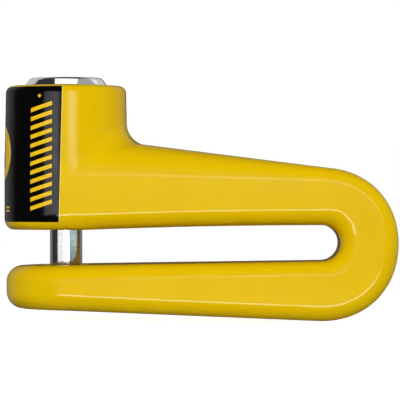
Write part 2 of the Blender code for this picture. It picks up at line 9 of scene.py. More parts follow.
import bmesh
import bpy
import numpy as np
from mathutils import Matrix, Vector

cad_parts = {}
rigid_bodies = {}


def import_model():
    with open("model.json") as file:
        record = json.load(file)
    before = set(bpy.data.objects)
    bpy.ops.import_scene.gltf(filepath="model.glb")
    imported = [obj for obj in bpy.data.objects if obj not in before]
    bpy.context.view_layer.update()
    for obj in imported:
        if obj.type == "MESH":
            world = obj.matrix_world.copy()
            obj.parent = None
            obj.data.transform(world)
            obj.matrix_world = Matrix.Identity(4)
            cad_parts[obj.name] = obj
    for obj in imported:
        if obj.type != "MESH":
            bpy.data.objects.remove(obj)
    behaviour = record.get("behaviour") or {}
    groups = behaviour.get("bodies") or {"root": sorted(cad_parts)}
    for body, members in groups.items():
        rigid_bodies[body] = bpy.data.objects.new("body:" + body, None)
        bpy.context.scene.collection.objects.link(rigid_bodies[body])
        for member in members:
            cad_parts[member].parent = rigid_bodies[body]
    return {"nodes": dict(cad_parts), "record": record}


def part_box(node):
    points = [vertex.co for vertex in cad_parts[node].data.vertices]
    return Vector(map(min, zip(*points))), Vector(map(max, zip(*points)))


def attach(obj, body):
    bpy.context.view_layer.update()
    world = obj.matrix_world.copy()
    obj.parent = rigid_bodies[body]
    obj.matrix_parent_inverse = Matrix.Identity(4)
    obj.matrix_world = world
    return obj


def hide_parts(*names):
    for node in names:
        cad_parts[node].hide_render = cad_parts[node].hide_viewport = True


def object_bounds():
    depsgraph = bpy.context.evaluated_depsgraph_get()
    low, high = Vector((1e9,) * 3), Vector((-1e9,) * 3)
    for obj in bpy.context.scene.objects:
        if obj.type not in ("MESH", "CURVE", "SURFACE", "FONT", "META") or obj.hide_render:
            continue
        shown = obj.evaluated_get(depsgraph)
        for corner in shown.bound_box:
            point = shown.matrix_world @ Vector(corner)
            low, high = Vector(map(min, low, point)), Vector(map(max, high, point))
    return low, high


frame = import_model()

cad_box = [list(corner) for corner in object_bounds()]

# ---------------------------------------------------------------- places read from the frame

PIN_LOW, PIN_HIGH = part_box("locking_pin")
PIN_X = (PIN_LOW.x + PIN_HIGH.x) / 2
CAP_LOW, CAP_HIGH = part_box("face_cap")
PLUNGER_R = (CAP_HIGH.x - CAP_LOW.x) / 2
PLUNGER_TOP = CAP_HIGH.z
BOSS_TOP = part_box("lock_body")[1].z
LABEL_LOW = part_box("wrap_label")[0].z
LATCH_LOW, LATCH_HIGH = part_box("latch_bolt")

# How far the film, its print and the print on that print stand out of the boss's wall
FILM_PROUD = 0.00002
PRINT_PROUD = 0.00003
PICTURE_PROUD = 0.00004
BOSS_R = cad_box[1][1] - PICTURE_PROUD

# ---------------------------------------------------------------- the body's design sizes

BOSS_TOP_R = 0.01855
BOSS_DRAFT_FROM = 0.0476
BOSS_RIM_R = 0.0022
BEND_R = 0.02351
BEND_X = 0.07888
BEND_FULLNESS = 0.0004
SLOT_END_R = 0.0055
SLOT_END_X = 0.0789
SLOT_END_Z = 0.0239
ARM_TOP_SLOPE = math.radians(7.2)
ARM_BOTTOM_SLOPE = math.radians(2.5)
TIP_BOTTOM_RISE = 0.02
SOLE_TURN = 0.004  # how gently the underside changes slope at the pin
SLOT_ROOF_Z = 0.0280
SLOT_ROOF_LEVEL_TO = 0.007
SLOT_FLOOR_Z = 0.0172
SIDE_TAPER = math.radians(3.6)
TIP_R = 0.0184
EDGE_R = 0.0048
SHOULDER_R = 0.0126
BEND_SHOULDER_R = 0.0043
SHOULDER_EASE = 2.25
TIP_EDGE_R = 0.0051
EDGE_CHANGE = 0.030  # how far from the pin the tip's rounding changes into the arm's
BEND_CHANGE = 0.010  # height over which the upper arm's rounding changes into the lower arm's
BOSS_EDGE_R = 0.0037  # under the boss at its back, changing into the ceiling's at the pin
BOSS_EDGE_TURN = 0.016
CEILING_EDGE_R = 0.0051
FLOOR_EDGE_R = 0.0044
END_EDGE_GAIN = 0.0010  # wider rounding at the slot's closed end
FILLET_R = 0.0066
BORE_R = 0.0153
BORE_FLOOR = 0.0328
MOUTH_R = 0.0007
BUSH_HOLE_R = 0.0072
SOCKET_FLOOR = 0.0074
GUIDE_BORE_R = 0.0033
GUIDE_BORE_X = -0.013
GUIDE_Z = 0.0660
GUIDE_TIP_R = 0.0020
TRAVEL = 0.020
GAP = 0.0003

# ---------------------------------------------------------------- the turned pieces' design sizes

PIN_TIP = 0.0010
PIN_TAIL_R = 0.0032
TAIL_HOLE_HALF, TAIL_HOLE_TOP = 0.0035, 0.0456
CROSS_HOLE_R, CROSS_HOLE_Z = 0.0013, 0.0439
LATCH_HALF_WIDTH = 0.0035
LATCH_ROOM_FROM = -0.0060
LATCH_SPRING_R, LATCH_SPRING_END = 0.0014, -0.0098
PEG_HOLE_HALF, PEG_HOLE_LOW = 0.0026, 0.0480
HOUSING_SHOULDER, HOUSING_TOP = 0.0680, 0.0726
HOUSING_NECK_R = 0.0112
CAVITY_R, CAVITY_FLOOR = 0.0085, 0.0503
GROOVE_FLOOR_X = -0.0103
CAP_SHOULDER_DROP = 0.0026
CAP_WALL_R, CAP_FACE_R, CAP_FLAT_R, CAP_BORE_R = 0.0115, 0.0100, 0.0090, 0.0070
CAP_UNDERSIDE = 0.0729
ROTOR_R, ROTOR_SHOULDER = 0.0082, 0.0723
ROTOR_HEAD_R, ROTOR_DISH_R = 0.0067, 0.0050
ROTOR_CAVITY_R, ROTOR_CAVITY_TOP = 0.0066, 0.0704
SIDEBAR_SLOT_HALF, SIDEBAR_SLOT_TOP = 0.0013, 0.0688
KEYWAY_R, KEYWAY_FLAT = 0.0036, -0.0008
SLEEVE_R, SLEEVE_BORE_R = 0.0150, 0.0130
SEAL_GROOVE_R = (0.0141, 0.0139, 0.0136)
BUSH_BORE_R = 0.0053
SOCKET_PLATE = 0.0010

# How far cutters pass the faces that they open
OVERCUT = 0.002
THIN_OVERCUT = 0.001
PIN_REACH = 0.006
HOUSING_REACH = 0.016
SLEEVE_REACH = (0.008, 0.020)
ABOVE_ALL = 0.080

# ---------------------------------------------------------------- the label's and the print's design sizes

# The film: half its length round the boss from its back, where it starts and ends, and its cells
LABEL_TOP = BOSS_TOP - 0.00055
LABEL_HALF_TOP, LABEL_HALF_LOW = 0.02951, 0.02851
LABEL_THICK = 0.00012
LABEL_ACROSS, LABEL_TALL = 150, 110

# Its cut edge, with the light caught there painted in as a pale band on the coating beside the film
EDGE_WIDTH, EDGE_WAVE = 0.00022, 0.00005
EDGE_SINK = 0.00002  # how far it reaches under the film
EDGE_STEP = 0.000004  # how much lower than the film it lies

# The print on it: distances round the boss from its back, and heights
PRINT_THICK, PRINT_CELL = 0.00005, 0.0004
LADDER_Z = (0.0342, 0.0668)
LADDER_BARS, LADDER_SPOT = 12, 0.0228
BAR_LENGTH, BAR_STROKE, BAR_RISE = 0.0072, 0.00125, 0.0022
DOT_SPOT, DOT_Z, DOT_R = 0.0222, 0.0688, 0.0005
TICK_SPOT, TICK_Z, TICK_PITCH = 0.0074, 0.0338, 0.0011
TICK_LENGTH, TICK_STROKE = 0.0030, 0.0005
SIGN_SPOT, SIGN_Z, SIGN_R = 0.0012, 0.0515, 0.0086

# The padlock on the sign: heights from the sign's middle
LOCK_HALF_WIDTH, LOCK_LOW, LOCK_HIGH = 0.0032, -0.0046, 0.0004
LOCK_ACROSS, LOCK_TALL = 16, 12
HOOP_Z, HOOP_R, HOOP_STROKE, HOOP_LEG = 0.0018, 0.0020, 0.0010, 0.0013

# ---------------------------------------------------------------- how finely the meshes are made

NET_STEP = 0.00055
SETTLE_ROUNDS, LEAST_SLOPE = 4, 0.05
WALL_ROUNDS, WALL_SHARE = 12, 0.9
SHARP = 30  # degrees between faces from which an edge is drawn sharp


# ---------------------------------------------------------------- the coated body, as one smooth field


def round_both(a, b, radius, power=2.0):
    """Inside of both fields, with the edge where they meet rounded; a power above 2 eases it in."""
    over_a = np.maximum(a + radius, 0)
    over_b = np.maximum(b + radius, 0)
    most = np.maximum(np.maximum(over_a, over_b), 1e-12)
    curve = most * ((over_a / most) ** power + (over_b / most) ** power) ** (1 / power)
    return np.minimum(np.maximum(a, b), -radius) + np.where(most > 1e-12, curve, 0)


def round_either(a, b, radius):
    """Inside of either field, with the corner between them filled to a radius."""
    under_a = np.maximum(radius - a, 0)
    under_b = np.maximum(radius - b, 0)
    return np.maximum(np.minimum(a, b), radius) - np.hypot(under_a, under_b)


def tip_to(arm_r, x):
    """Rounding of an edge that starts at the lower arm's tip."""
    return arm_r + (TIP_EDGE_R - arm_r) * np.clip(1 - x / EDGE_CHANGE, 0, 1)


def plan_field(x, y, z):
    """Distance outside the hairpin seen from above, and the direction it grows in."""
    along = x * math.cos(SIDE_TAPER) - y * math.sin(SIDE_TAPER)
    flat = x * math.sin(SIDE_TAPER) + y * math.cos(SIDE_TAPER) - BOSS_R
    stretch = np.where((z < SLOT_END_Z) & (x < 0), BOSS_R / TIP_R, 1.0)
    round_end = np.hypot(x * stretch, y)
    ahead = along > 0
    rho = np.maximum(np.hypot(x, y), 1e-9)
    toward_x = np.where(ahead, math.sin(SIDE_TAPER), x / rho)
    toward_y = np.where(ahead, math.cos(SIDE_TAPER), y / rho)
    return np.where(ahead, flat, round_end - BOSS_R), toward_x, toward_y


def outline_field(x, z):
    """Distance outside the hairpin seen from the side, its slot filled in."""
    dx = x - BEND_X
    dz = z - BEND_R
    angle = np.arctan2(dz, dx)
    top = dx * math.sin(ARM_TOP_SLOPE) + dz * math.cos(ARM_TOP_SLOPE) - BEND_R
    slope = math.tan(ARM_BOTTOM_SLOPE)
    tangent_x = BEND_X - BEND_R * math.sin(ARM_BOTTOM_SLOPE)
    tangent_z = BEND_R - BEND_R * math.cos(ARM_BOTTOM_SLOPE)
    ahead = (x + np.hypot(x, SOLE_TURN)) / 2
    sole = tangent_z + tangent_x * slope - TIP_BOTTOM_RISE * x - (slope - TIP_BOTTOM_RISE) * ahead
    bottom = (sole - z) * math.cos(ARM_BOTTOM_SLOPE)
    bend = np.hypot(dx, dz) - BEND_R - BEND_FULLNESS * np.sin(2 * angle) ** 2
    in_bend = (angle < math.pi / 2 - ARM_TOP_SLOPE) & (angle > -math.pi / 2 - ARM_BOTTOM_SLOPE)
    return np.where(in_bend, bend, np.maximum(top, bottom))


def slot_field(x, z):
    """Distance outside the slot."""
    end_roof = SLOT_END_Z + SLOT_END_R
    left = (SLOT_END_X - np.clip(x, SLOT_ROOF_LEVEL_TO, SLOT_END_X)) / (SLOT_END_X - SLOT_ROOF_LEVEL_TO)
    roof = end_roof - (end_roof - SLOT_ROOF_Z) * left**2
    end_floor = SLOT_END_Z - SLOT_END_R
    floor = SLOT_FLOOR_Z + (end_floor - SLOT_FLOOR_Z) * x / SLOT_END_X
    channel = np.maximum(z - roof, floor - z)
    return np.where(x > SLOT_END_X, np.hypot(x - SLOT_END_X, z - SLOT_END_Z) - SLOT_END_R, channel)


def solid_field(points):
    """The body before its bores are made: negative inside."""
    x = points[:, 0] - PIN_X
    y = np.abs(points[:, 1])
    z = points[:, 2]
    rho = np.maximum(np.hypot(x, y), 1e-9)
    upper = z > SLOT_END_Z
    upward = np.clip(0.5 + (z - SLOT_END_Z) / BEND_CHANGE, 0, 1)

    plan, plan_x, plan_y = plan_field(x, y, z)
    outline = outline_field(x, z)
    shoulder = BEND_SHOULDER_R + (SHOULDER_R - BEND_SHOULDER_R) * np.clip(1 - x / BEND_X, 0, 1)
    under = tip_to(EDGE_R, x)
    outer_r = under + (shoulder - under) * upward
    arms = round_both(plan, outline, outer_r, 2.0 + (SHOULDER_EASE - 2.0) * upward)

    draft = np.clip((z - BOSS_DRAFT_FROM) / (BOSS_TOP - BOSS_DRAFT_FROM), 0, 1)
    wall = rho - (BOSS_R + (BOSS_TOP_R - BOSS_R) * draft)
    boss = round_both(np.maximum(wall, SLOT_END_Z - z), z - BOSS_TOP, BOSS_RIM_R)

    over_plan = np.maximum(plan + outer_r, 0)
    over_top = np.maximum(outline + outer_r, 1e-9)
    along_wall = plan_x * x / rho + plan_y * y / rho
    top_wall = math.sin(ARM_TOP_SLOPE) * x / rho
    alike = (over_plan * along_wall + over_top * top_wall) / np.hypot(over_plan, over_top)
    fillet = np.maximum(FILLET_R * np.clip(1 - alike, 0, 1), 1e-6)
    joined = np.where(upper, round_either(arms, boss, fillet), arms)

    ceiling_r = BOSS_EDGE_R + (CEILING_EDGE_R - BOSS_EDGE_R) * np.clip(1 + x / BOSS_EDGE_TURN, 0, 1)
    floor_r = tip_to(FLOOR_EDGE_R, x)
    wider = END_EDGE_GAIN * np.clip((x - SLOT_END_X) / SLOT_END_R, 0, 1)
    inner_r = floor_r + (ceiling_r - floor_r) * upward + wider
    return round_both(joined, -slot_field(x, z), inner_r)


def body_field(points):
    """The body with the plunger's bore and the pin's hole and socket."""
    x = points[:, 0] - PIN_X
    z = points[:, 2]
    rho = np.hypot(x, points[:, 1])
    bore = np.maximum(rho - BORE_R, BORE_FLOOR - z)
    hole = np.maximum(rho - BUSH_HOLE_R, SOCKET_FLOOR - z)
    hole = np.maximum(hole, z - BORE_FLOOR - OVERCUT)
    screw = np.maximum(np.hypot(points[:, 1], z - GUIDE_Z) - GUIDE_BORE_R, x - GUIDE_BORE_X)
    drilled = round_both(solid_field(points), -bore, MOUTH_R)
    drilled = round_both(drilled, -hole, MOUTH_R)
    return np.maximum(drilled, -screw)


def gradient(field, points, reach=2e-5):
    slopes = np.empty_like(points)
    for axis in range(3):
        step = np.zeros(3)
        step[axis] = reach
        slopes[:, axis] = (field(points + step) - field(points - step)) / (2 * reach)
    return slopes


def settle(field, points):
    """Move points onto the field's zero surface, and give its normals there."""
    for _ in range(SETTLE_ROUNDS):
        slopes = gradient(field, points)
        size = np.maximum((slopes**2).sum(1), LEAST_SLOPE)
        points = points - slopes * (field(points) / size)[:, None]
    slopes = gradient(field, points)
    return points, slopes / np.linalg.norm(slopes, axis=1)[:, None]


def surface_net(field, low, high, step):
    """Points and quads of the field's zero surface: one point in each crossed cell of a grid."""
    axes = [np.arange(a - 2 * step, b + 2.5 * step, step) for a, b in zip(low, high)]
    counts = [len(a) for a in axes]
    values = np.empty(counts)
    for i, x in enumerate(axes[0]):
        y, z = np.meshgrid(axes[1], axes[2], indexing="ij")
        layer = np.column_stack([np.full(y.size, x), y.ravel(), z.ravel()])
        values[i] = field(layer).reshape(counts[1:])
    corners = [(i, j, k) for i in (0, 1) for j in (0, 1) for k in (0, 1)]
    cells = [n - 1 for n in counts]

    def shifted(array, corner):
        return array[tuple(slice(c, c + n) for c, n in zip(corner, cells))]

    inside = values < 0
    filled = sum(shifted(inside, c).astype(np.int8) for c in corners)
    crossed = (filled > 0) & (filled < 8)
    number = np.full(cells, -1)
    number[crossed] = np.arange(crossed.sum())
    at_corner = {c: shifted(values, c)[crossed] for c in corners}
    total = np.zeros((crossed.sum(), 3))
    hits = np.zeros(crossed.sum())
    for a in corners:
        for axis in range(3):
            if a[axis]:
                continue
            b = tuple(v + (n == axis) for n, v in enumerate(a))
            va, vb = at_corner[a], at_corner[b]
            hit = (va < 0) != (vb < 0)
            share = va[hit] / (va[hit] - vb[hit])
            spot = np.tile(np.array(a, float), (hit.sum(), 1))
            spot[:, axis] += share
            total[hit] += spot
            hits[hit] += 1
    base = np.argwhere(crossed) + total / hits[:, None]
    origin = np.array([a[0] for a in axes])
    points = origin + base * step

    quads = []
    for axis in range(3):
        u, v = (axis + 1) % 3, (axis + 2) % 3
        here = [slice(1, n) for n in cells]
        here[axis] = slice(0, cells[axis])
        there = list(here)
        there[axis] = slice(1, cells[axis] + 1)
        start, end = inside[tuple(here)], inside[tuple(there)]
        for flip in (False, True):
            edge = np.argwhere((start & ~end) if not flip else (end & ~start))
            edge[:, u] += 1
            edge[:, v] += 1
            ring = []
            for du, dv in ((-1, -1), (0, -1), (0, 0), (-1, 0)):
                cell = edge.copy()
                cell[:, u] += du
                cell[:, v] += dv
                ring.append(number[tuple(cell.T)])
            quad = np.column_stack(ring)
            quads.append(quad[:, ::-1] if flip else quad)
    return points, np.concatenate(quads)


# ---------------------------------------------------------------- mesh helpers


def mesh_object(name, points, faces, normals=None):
    mesh = bpy.data.meshes.new(name)
    mesh.from_pydata([tuple(p) for p in points], [], [tuple(int(i) for i in f) for f in faces])
    mesh.update()
    mesh.shade_smooth()
    if normals is not None:
        mesh.normals_split_custom_set_from_vertices([tuple(n) for n in normals])
    obj = bpy.data.objects.new(name, mesh)
    bpy.context.collection.objects.link(obj)
    return obj


def bm_object(name, bm, sharp=SHARP):
    bmesh.ops.recalc_face_normals(bm, faces=bm.faces)
    mesh = bpy.data.meshes.new(name)
    bm.to_mesh(mesh)
    bm.free()
    mesh.shade_smooth()
    mesh.set_sharp_from_angle(angle=math.radians(sharp))
    obj = bpy.data.objects.new(name, mesh)
    bpy.context.collection.objects.link(obj)
    return obj


def arc(centre_r, centre_z, radius, start, end, steps=6):
    """Points of a rounded edge in a turned outline, angles in degrees."""
    spots = []
    for i in range(steps + 1):
        a = math.radians(start + (end - start) * i / steps)
        spots.append((centre_r + radius * math.cos(a), centre_z + radius * math.sin(a)))
    return spots


def turned(name, outline, steps=128, sharp=SHARP):
    """Turn a closed (radius, height) outline about the pin's axis."""
    bm = bmesh.new()
    rings = []
    for radius, height in outline:
        count = steps if radius > 1e-9 else 1
        ring = []
        for i in range(count):
            a = math.tau * i / steps
            ring.append(bm.verts.new((PIN_X + radius * math.cos(a), radius * math.sin(a), height)))
        rings.append(ring)
    for ring, after in zip(rings, rings[1:] + rings[:1]):
        if len(ring) == len(after) == 1:
            continue
        for i in range(steps):
            j = (i + 1) % steps
            corners = [ring[i % len(ring)], ring[j % len(ring)], after[j % len(after)], after[i % len(after)]]
            bm.faces.new(list(dict.fromkeys(corners)))
    return bm_object(name, bm, sharp)


def carve(obj, cutter):
    """Cut one mesh out of another for good."""
    boolean = obj.modifiers.new("carve", "BOOLEAN")
    boolean.operation = "DIFFERENCE"
    boolean.solver = "EXACT"
    boolean.object = cutter
    bpy.context.view_layer.update()
    graph = bpy.context.evaluated_depsgraph_get()
    mesh = bpy.data.meshes.new_from_object(obj.evaluated_get(graph))
    obj.modifiers.clear()
    obj.data = mesh
    mesh.shade_smooth()
    mesh.set_sharp_from_angle(angle=math.radians(SHARP))
    bpy.data.objects.remove(cutter, do_unlink=True)


# ---------------------------------------------------------------- finishes


class Finish:
    """A material whose node tree is built a node at a time."""

    def __init__(self, name):
        self.material = bpy.data.materials.new(name)
        self.material.use_nodes = True
        self.tree = self.material.node_tree
        self.shader = self.tree.nodes["Principled BSDF"]
        self.place = self.tree.nodes.new("ShaderNodeTexCoord").outputs["Object"]

    def set(self, **values):
        for name, value in values.items():
            self.shader.inputs[name.replace("_", " ")].default_value = value

    def node(self, kind, **settings):
        made = self.tree.nodes.new(kind)
        for name, value in settings.items():
            setattr(made, name, value)
        return made

    def link(self, source, target):
        self.tree.links.new(source, target)

    def scaled(self, stretch):
        """Object coordinates stretched along each axis, about the pin's axis."""
        mapping = self.node("ShaderNodeMapping")
        mapping.inputs["Location"].default_value = (-PIN_X * stretch[0], 0, 0)
        mapping.inputs["Scale"].default_value = stretch
        self.link(self.place, mapping.inputs["Vector"])
        return mapping.outputs["Vector"]

    def noise(self, scale, detail=3.0, roughness=0.55, vector=None):
        made = self.node("ShaderNodeTexNoise")
        made.inputs["Scale"].default_value = scale
        made.inputs["Detail"].default_value = detail
        made.inputs["Roughness"].default_value = roughness
        self.link(vector or self.place, made.inputs["Vector"])
        return made.outputs["Fac"]

    def ramp(self, value, low, high, at_low, at_high):
        """Map a value's range onto another, held at both ends."""
        made = self.node("ShaderNodeMapRange", clamp=True)
        self.link(value, made.inputs["Value"])
        for name, number in (("From Min", low), ("From Max", high), ("To Min", at_low), ("To Max", at_high)):
            made.inputs[name].default_value = number
        return made.outputs["Result"]

    def blend(self, share, first, second):
        """Colour that goes from the first to the second."""
        made = self.node("ShaderNodeMix", data_type="RGBA")
        if isinstance(share, float):
            made.inputs[0].default_value = share
        else:
            self.link(share, made.inputs[0])
        for socket, colour in ((made.inputs[6], first), (made.inputs[7], second)):
            if isinstance(colour, tuple):
                socket.default_value = (*colour, 1.0)
            else:
                self.link(colour, socket)
        return made.outputs[2]

    def bump(self, height, distance, strength=1.0, under=None):
        made = self.node("ShaderNodeBump")
        made.inputs["Distance"].default_value = distance
        made.inputs["Strength"].default_value = strength
        self.link(height, made.inputs["Height"])
        if under is not None:
            self.link(under, made.inputs["Normal"])
        return made.outputs["Normal"]

    def colour(self, socket):
        self.link(socket, self.shader.inputs["Base Color"])

    def roughness(self, socket):
        self.link(socket, self.shader.inputs["Roughness"])

    def normal(self, socket):
        self.link(socket, self.shader.inputs["Normal"])


def coating_finish():
    """Thick yellow dip coating: glossy, a little wavy, with faint mottling."""
    finish = Finish("yellow_coating")
    finish.set(Metallic=0.0, IOR=1.45)
    mottle = finish.ramp(finish.noise(90.0, 4.0), 0.35, 0.65, 0.0, 1.0)
    finish.colour(finish.blend(mottle, (0.775, 0.498, 0.0), (0.800, 0.516, 0.0)))
    finish.roughness(finish.ramp(finish.noise(240.0, 5.0), 0.3, 0.7, 0.09, 0.13))
    sag = finish.bump(finish.noise(75.0, 2.0), 0.00014, 0.5)
    peel = finish.bump(finish.noise(900.0, 2.0), 0.000004, 0.5, sag)
    finish.normal(peel)
    return finish.material


def vinyl_finish():
    """Black film, slightly rippled where it was pulled round the boss."""
    finish = Finish("black_vinyl")
    finish.set(IOR=1.5)
    shade = finish.ramp(finish.noise(160.0, 4.0), 0.3, 0.7, 0.0, 1.0)
    finish.colour(finish.blend(shade, (0.0007, 0.0005, 0.0005), (0.0014, 0.0010, 0.0010)))
    finish.roughness(finish.ramp(finish.noise(500.0, 4.0), 0.3, 0.7, 0.10, 0.17))
    ripples = finish.noise(1.0, 3.0, vector=finish.scaled((230.0, 230.0, 75.0)))
    finish.normal(finish.bump(ripples, 0.00013, 0.5))
    return finish.material


def print_finish(name, dark, light):
    finish = Finish(name)
    grain = finish.ramp(finish.noise(1500.0, 4.0), 0.35, 0.65, 0.0, 1.0)
    finish.colour(finish.blend(grain, dark, light))
    finish.roughness(finish.ramp(finish.noise(700.0, 3.0), 0.3, 0.7, 0.24, 0.34))
    finish.normal(finish.bump(finish.noise(1800.0, 2.0), 0.00001, 0.4))
    return finish.material


def metal_finish(name, dark, light, rough, stretch=(60.0, 60.0, 3500.0), depth=0.000004):
    """Turned or ground metal: tool marks run round the pin's axis when stretch is large along Z."""
    finish = Finish(name)
    finish.set(Metallic=1.0)
    marks = finish.noise(1.0, 5.0, 0.6, finish.scaled(stretch))
    tone = finish.ramp(marks, 0.3, 0.7, 0.0, 1.0)
    finish.colour(finish.blend(tone, dark, light))
    wear = finish.noise(170.0, 5.0, 0.62)
    finish.roughness(finish.ramp(wear, 0.3, 0.7, rough * 0.75, rough * 1.35))
    finish.normal(finish.bump(marks, depth, 0.6))
    return finish.material


def rubber_finish():
    finish = Finish("black_rubber")
    bloom = finish.ramp(finish.noise(420.0, 5.0), 0.35, 0.7, 0.0, 1.0)
    finish.colour(finish.blend(bloom, (0.012, 0.012, 0.0125), (0.026, 0.026, 0.027)))
    finish.roughness(finish.ramp(finish.noise(900.0, 3.0), 0.3, 0.7, 0.50, 0.68))
    finish.normal(finish.bump(finish.noise(2600.0, 3.0), 0.00002, 0.4))
    return finish.material


PLATED = {"stretch": (400.0, 400.0, 400.0), "depth": 0.000002}
DRAWN = {"stretch": (900.0, 900.0, 900.0)}
PUNCHED = {"stretch": (700.0, 700.0, 60.0)}
FINISHES = {
    "yellow_coating": coating_finish(),
    "black_vinyl": vinyl_finish(),
    "chrome_plate": metal_finish("chrome_plate", (0.70, 0.70, 0.71), (0.78, 0.78, 0.79), 0.07, **PLATED),
    "pin_steel": metal_finish("pin_steel", (0.60, 0.61, 0.62), (0.74, 0.75, 0.76), 0.13),
    "hardened_steel": metal_finish("hardened_steel", (0.42, 0.42, 0.42), (0.56, 0.56, 0.55), 0.30),
    "spring_steel": metal_finish("spring_steel", (0.12, 0.12, 0.13), (0.22, 0.22, 0.23), 0.36, **DRAWN),
    "zinc_alloy": metal_finish("zinc_alloy", (0.44, 0.45, 0.46), (0.56, 0.57, 0.58), 0.38),
    "brass": metal_finish("brass", (0.62, 0.43, 0.17), (0.78, 0.57, 0.26), 0.30, **PUNCHED),
    "black_rubber": rubber_finish(),
}

PRINTS = {
    "yellow_print": print_finish("yellow_print", (0.80, 0.48, 0.004), (0.90, 0.58, 0.008)),
    "black_print": print_finish("black_print", (0.003, 0.003, 0.003), (0.006, 0.0055, 0.005)),
    # painted highlight: this pale yellow, lighter than the coating, stands for the light caught along the
    # film's edges
    "film_edge": print_finish("film_edge", (0.85, 0.60, 0.10), (0.95, 0.74, 0.25)),
}


def dress(obj, slot, body, *nodes):
    """Finish a piece, put it on its body and let it stand for its CAD nodes."""
    obj.data.materials.clear()
    obj.data.materials.append(FINISHES[slot])
    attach(obj, body)
    if nodes:
        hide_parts(*nodes)


# ---------------------------------------------------------------- pieces


def make_body():
    """The coated hairpin with its boss, as one closed mesh."""
    low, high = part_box("lock_body")
    points, quads = surface_net(body_field, low, high, NET_STEP)
    points, normals = settle(body_field, points)
    body = mesh_object("coated_body", points, quads, normals)
    dress(body, "yellow_coating", "body", "lock_body")


def wall_points(angles, heights, proud):
    """Points on the boss's wall at each angle and height, standing a little proud of it."""
    a = np.asarray(angles, float).ravel()
    z = np.asarray(heights, float).ravel()
    outward = np.column_stack([np.cos(a), np.sin(a), np.zeros(len(a))])
    axis = np.column_stack([np.full(len(a), PIN_X), np.zeros(len(a)), z])
    r = np.full(len(a), BOSS_R)
    for _ in range(WALL_ROUNDS):
        r = r - (solid_field(outward * r[:, None] + axis) - proud) * WALL_SHARE
    return outward * r[:, None] + axis


def bent_sheet(name, round_spots, heights, proud, thick):
    """A thin closed sheet on the boss, from a grid of spots: distance round from its back, and height."""
    rows, columns = heights.shape
    angles = math.pi + round_spots / BOSS_R
    outer = wall_points(angles, heights, proud)
    inner = wall_points(angles, heights, proud - thick)
    count = rows * columns
    index = np.arange(count).reshape(rows, columns)
    faces = []
    for i in range(rows - 1):
        for j in range(columns - 1):
            a, b, c, d = index[i, j], index[i, j + 1], index[i + 1, j + 1], index[i + 1, j]
            faces.append((a, b, c, d))
            faces.append((d + count, c + count, b + count, a + count))
    rim = [*index[0, :-1], *index[:-1, -1], *index[-1, :0:-1], *index[:0:-1, 0]]
    for a, b in zip(rim, rim[1:] + rim[:1]):
        faces.append((b, a, a + count, b + count))
    sheet = mesh_object(name, np.concatenate([outer, inner]), faces)
    outward = (sheet.data.polygons[0].normal.x, sheet.data.polygons[0].normal.y)
    if outward[0] * (outer[0, 0] - PIN_X) + outward[1] * outer[0, 1] < 0:
        sheet.data.flip_normals()
    sheet.data.set_sharp_from_angle(angle=math.radians(40))
    return sheet


def label_half(height):
    """Distance from the boss's back to the label's edge, which leans a little."""
    up = (height - LABEL_LOW) / (LABEL_TOP - LABEL_LOW)
    return LABEL_HALF_LOW + (LABEL_HALF_TOP - LABEL_HALF_LOW) * up


def label_heights():
    return LABEL_LOW + (LABEL_TOP - LABEL_LOW) * np.arange(LABEL_TALL + 1) / LABEL_TALL


def make_label():
    """The black film round the boss."""
    heights = label_heights()
    share = 2 * np.arange(LABEL_ACROSS + 1) / LABEL_ACROSS - 1
    spots = label_half(heights)[:, None] * share[None, :]
    grid_z = np.repeat(heights[:, None], LABEL_ACROSS + 1, axis=1)
    film = bent_sheet("wrap_film", spots, grid_z, FILM_PROUD, LABEL_THICK)
    dress(film, "black_vinyl", "body", "wrap_label")


def cells(length):
    return max(round(length / PRINT_CELL), 2)


def bar(name, middle, length, stroke, lean):
    """A slanted printed bar: its middle, its length round the boss, its stroke and its rise."""
    u = np.linspace(-0.5, 0.5, cells(length) + 1)
    v = np.linspace(-0.5, 0.5, cells(stroke) + 1)
    grid_v, grid_u = np.meshgrid(v, u, indexing="ij")
    spots = middle[0] + grid_u * length
    heights = middle[1] + grid_u * lean + grid_v * stroke
    printed(bent_sheet(name, spots, heights, PRINT_PROUD, PRINT_THICK), "yellow_print")


def disc(name, middle, radius):
    """A printed dot, from a square grid drawn out to a circle."""
    steps = 2 * cells(radius)
    line = np.linspace(-1, 1, steps + 1)
    v, u = np.meshgrid(line, line, indexing="ij")
    spots = middle[0] + radius * u * np.sqrt(1 - v**2 / 2)
    heights = middle[1] + radius * v * np.sqrt(1 - u**2 / 2)
    printed(bent_sheet(name, spots, heights, PRINT_PROUD, PRINT_THICK), "yellow_print")


def hoop(name, middle, radius, stroke, leg):
    """A printed padlock shackle: a half ring on two short legs."""
    turn = np.linspace(0, math.pi, 2 * cells(radius * 1.6) + 1)
    band = np.linspace(radius - stroke / 2, radius + stroke / 2, 4)
    path = [(1.0, -leg), *[(math.cos(a), 0.0) for a in turn], (-1.0, -leg)]
    rise = [0.0, *[math.sin(a) for a in turn], 0.0]
    spots = np.array([[middle[0] + c * r for c, _ in path] for r in band])
    heights = np.array([[middle[1] + d + up * r for (_, d), up in zip(path, rise)] for r in band])
    printed(bent_sheet(name, spots, heights, PICTURE_PROUD, PRINT_THICK), "black_print")


def printed(sheet, paint):
    """Print a sheet: it rides on the body, in the slot of what it is printed with or lies on."""
    dress(sheet, "black_vinyl" if paint == "black_print" else "yellow_coating", "body")
    sheet.data.materials[0] = PRINTS[paint]


